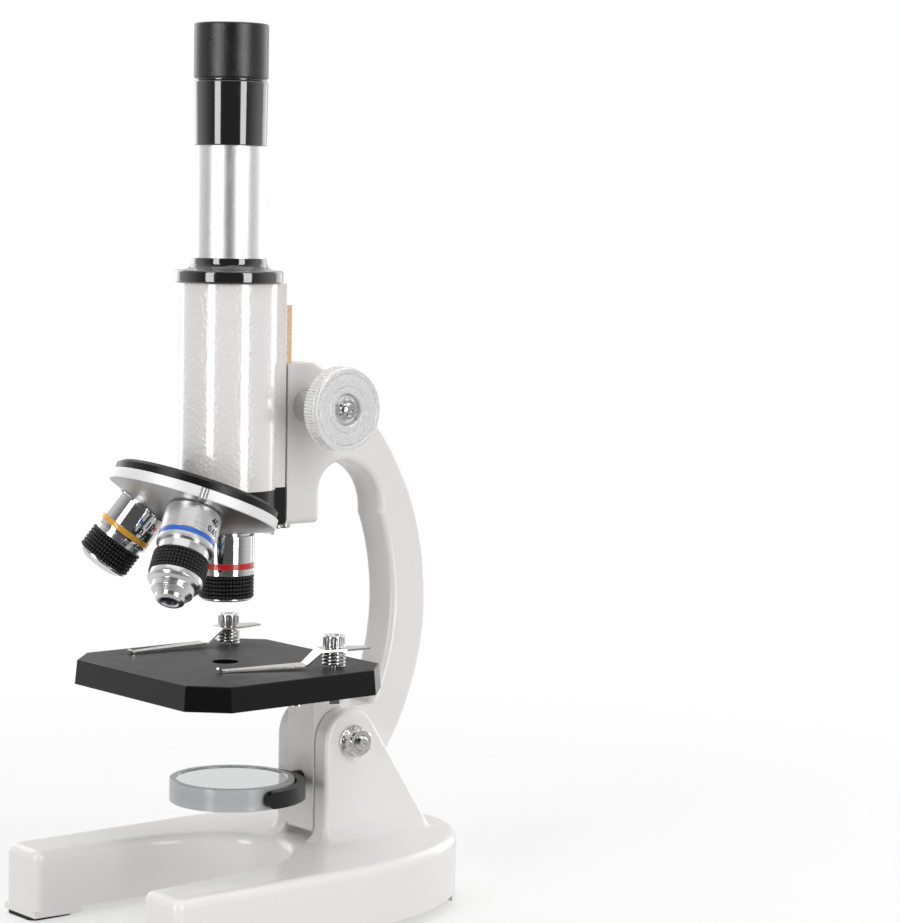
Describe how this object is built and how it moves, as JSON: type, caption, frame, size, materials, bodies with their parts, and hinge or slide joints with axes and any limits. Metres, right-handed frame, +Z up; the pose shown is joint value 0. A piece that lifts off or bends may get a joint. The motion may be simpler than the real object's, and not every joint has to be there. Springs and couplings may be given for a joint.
{
  "type": "student microscope",
  "caption": "Upright monocular student microscope with an inclining arm, rack and pinion focus, revolving nosepiece, drop-in eyepiece, stage with spring clips and a swivelling mirror.",
  "frame": {"origin": "middle of the footprint on the table, under the rubber feet", "axes": "+Z up along the optical axis, +Y from the leg tips to the heel of the base, +X to the right seen from the leg tips"},
  "size_m": [0.125, 0.18, 0.3688],
  "materials": {
    "white_enamel": "gloss",
    "black_enamel": "gloss",
    "satin_aluminium": "satin",
    "turned_aluminium": "brushed",
    "chrome": "polished",
    "zinc_steel": "zinc plated",
    "brass": "satin",
    "black_plastic": "gloss",
    "matte_black_plastic": "fine grain",
    "milky_plastic": "translucent",
    "black_rubber": "matte",
    "lens_glass": "coated",
    "mirror_glass": "silvered",
    "red_enamel": "gloss",
    "yellow_enamel": "gloss",
    "blue_enamel": "gloss"
  },
  "bodies": {
    "base": {"base_casting": "white_enamel", "foot_pads": "black_rubber", "pivot_bolt": "zinc_steel", "pivot_nut": "zinc_steel", "pivot_washers": "zinc_steel", "friction_washers": "zinc_steel"},
    "arm": {"arm_casting": "white_enamel", "stop_screw": "zinc_steel", "pinion_bushings": "chrome", "stage": "black_plastic", "stage_screws": "zinc_steel", "clip_posts": "chrome", "clip_retainers": "chrome", "mirror_stem": "zinc_steel"},
    "focus_knobs": {"pinion_shaft": "zinc_steel", "pinion_gear": "brass", "focus_knob_left": "satin_aluminium", "focus_knob_right": "satin_aluminium", "knob_nuts": "zinc_steel"},
    "tube": {"body_tube": "white_enamel", "rack": "brass", "tube_collar": "black_enamel", "draw_tube": "satin_aluminium", "tube_baffle": "matte_black_plastic", "nosepiece_carrier": "black_enamel", "turret_pin": "zinc_steel", "click_spring": "zinc_steel", "click_spring_screws": "zinc_steel"},
    "eyepiece": {"eyepiece_insert": "chrome", "eyepiece_barrel": "black_plastic", "eyecup": "matte_black_plastic", "eye_lens": "lens_glass", "field_lens": "lens_glass", "field_stop": "matte_black_plastic"},
    "nosepiece": {"turret": "satin_aluminium", "objective_4x_barrel": "turned_aluminium", "objective_4x_ring": "red_enamel", "objective_4x_grip": "matte_black_plastic", "objective_4x_nose": "turned_aluminium", "objective_4x_lens": "lens_glass", "objective_10x_barrel": "turned_aluminium", "objective_10x_ring": "yellow_enamel", "objective_10x_grip": "matte_black_plastic", "objective_10x_nose": "turned_aluminium", "objective_10x_lens": "lens_glass", "objective_40x_barrel": "turned_aluminium", "objective_40x_ring": "blue_enamel"},
    "sprung_nose": {"objective_40x_nose": "turned_aluminium", "objective_40x_grip": "matte_black_plastic", "objective_40x_lens": "lens_glass"},
    "clip_swivel_right": {"clip_spring_right": "zinc_steel"},
    "clip_right": {"stage_clip_right": "zinc_steel"},
    "clip_swivel_left": {"clip_spring_left": "zinc_steel"},
    "clip_left": {"stage_clip_left": "zinc_steel"},
    "fork": {"mirror_fork": "black_plastic"},
    "mirror": {"mirror_ring": "milky_plastic", "plane_mirror": "mirror_glass", "concave_mirror": "mirror_glass"}
  },
  "joints": [
    {"name": "inclination", "type": "hinge", "parent": "base", "child": "arm", "pos_m": [0, 0.0305, 0.0715], "axis": [-1, 0, 0], "range_deg": [0, 45]},
    {"name": "focus_slide", "type": "slide", "parent": "arm", "child": "tube", "axis": [0, 0, 1], "range_m": [-0.006, 0.025]},
    {"name": "focus_knob_turn", "type": "hinge", "parent": "arm", "child": "focus_knobs", "pos_m": [0, 0.0113, 0.2134], "axis": [1, 0, 0], "range_deg": [-295, 72]},
    {"name": "eyepiece_lift", "type": "slide", "parent": "tube", "child": "eyepiece", "axis": [0, 0, 1], "range_m": [0, 0.035]},
    {"name": "nosepiece_turn", "type": "hinge", "parent": "tube", "child": "nosepiece", "pos_m": [0, -0.023, 0.2185], "axis": [0, 0.3624, 0.932], "continuous": true},
    {"name": "nose_retract", "type": "slide", "parent": "nosepiece", "child": "sprung_nose", "axis": [-0.3139, 0.5067, 0.803], "range_m": [0, 0.002], "stiffness_N_per_m": 600, "springref_m": -0.0005},
    {"name": "clip_right_swivel", "type": "hinge", "parent": "arm", "child": "clip_swivel_right", "pos_m": [0.0368, 0.005, 0.1079], "axis": [0, 0, 1], "range_deg": [-12, 70]},
    {"name": "clip_right_lift", "type": "hinge", "parent": "clip_swivel_right", "child": "clip_right", "pos_m": [0.03542, 0.00077, 0.1159], "axis": [-0.9511, 0.309, 0], "range_deg": [0, 8], "stiffness_Nm_per_rad": 0.03, "springref_deg": -8.59, "deforming": ["clip_spring_right"]},
    {"name": "clip_left_swivel", "type": "hinge", "parent": "arm", "child": "clip_swivel_left", "pos_m": [-0.0368, 0.005, 0.1079], "axis": [0, 0, 1], "range_deg": [-60, 28]},
    {"name": "clip_left_lift", "type": "hinge", "parent": "clip_swivel_left", "child": "clip_left", "pos_m": [-0.03696, 0.00055, 0.1159], "axis": [-0.9994, 0.0349, 0], "range_deg": [0, 8], "stiffness_Nm_per_rad": 0.03, "springref_deg": -8.59, "deforming": ["clip_spring_left"]},
    {"name": "mirror_swivel", "type": "hinge", "parent": "arm", "child": "fork", "pos_m": [0, 0.0165, 0.0543], "axis": [0, 1, 0], "range_deg": [-90, 90]},
    {"name": "mirror_tilt", "type": "hinge", "parent": "fork", "child": "mirror", "pos_m": [0, -0.019, 0.0543], "axis": [1, 0, 0], "continuous": true}
  ],
  "couplings": [
    {"joint": "focus_knob_turn", "follows": "focus_slide", "rad_per_m": -204.08}
  ]
}
